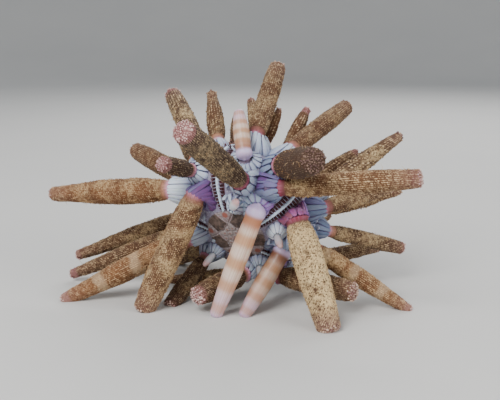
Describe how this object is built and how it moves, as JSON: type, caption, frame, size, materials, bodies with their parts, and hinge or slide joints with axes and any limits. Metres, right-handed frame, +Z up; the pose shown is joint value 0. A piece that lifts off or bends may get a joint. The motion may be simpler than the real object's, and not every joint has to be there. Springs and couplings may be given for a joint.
{
  "type": "slate-pencil sea urchin (eucidaris metularia)",
  "caption": "Small slate-pencil sea urchin lying tilted on its lower spines: a flattened round shell with stout blunt spines, rings of flat blades and ladder-like foot fields.",
  "frame": {"origin": "centre of the bounding box, on the floor that the lower spine tips stand on", "axes": "+Z up, the viewer of the picture looks along +Y, +X to the viewer's right, along the widest spread of the spines"},
  "size_m": [0.0658, 0.0568, 0.0413],
  "materials": {
    "spine_field": "matte, rough",
    "foot_field": "satin",
    "apex": "satin",
    "mouth": "satin"
  },
  "bodies": {
    "root": {"interambulacrum_1": "spine_field", "interambulacrum_2": "spine_field", "interambulacrum_3": "spine_field", "interambulacrum_4": "spine_field", "interambulacrum_5": "spine_field", "ambulacrum_1": "foot_field", "ambulacrum_2": "foot_field", "ambulacrum_3": "foot_field", "ambulacrum_4": "foot_field", "ambulacrum_5": "foot_field", "apical_disc": "apex", "peristome": "mouth"}
  },
  "joints": []
}
